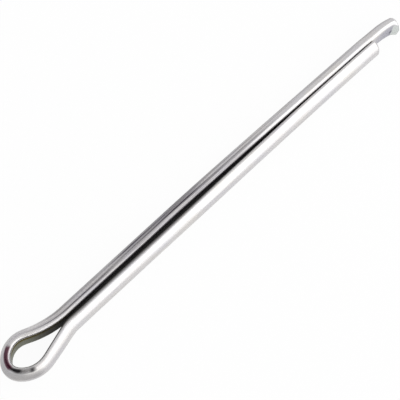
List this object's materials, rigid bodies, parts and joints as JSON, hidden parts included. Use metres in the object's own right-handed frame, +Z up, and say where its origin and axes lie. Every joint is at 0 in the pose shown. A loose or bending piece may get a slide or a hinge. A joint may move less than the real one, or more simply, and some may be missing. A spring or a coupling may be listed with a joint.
{
  "type": "cotter pin",
  "caption": "Long split pin folded from half-round steel wire, with a teardrop eye and one prong longer than the other, hooked over at its tip.",
  "frame": {"origin": "on the shank axis at the neck, where the nominal length under the eye starts", "axes": "+X along the shank from the neck to the tips, +Y towards the long prong, +Z up out of the plane of the eye, as the pin lies on its side"},
  "size_m": [0.1022, 0.009, 0.0046],
  "materials": {
    "plated_steel": "bright zinc plate over drawn wire"
  },
  "bodies": {
    "root": {"cotter_pin": "plated_steel"}
  },
  "joints": []
}
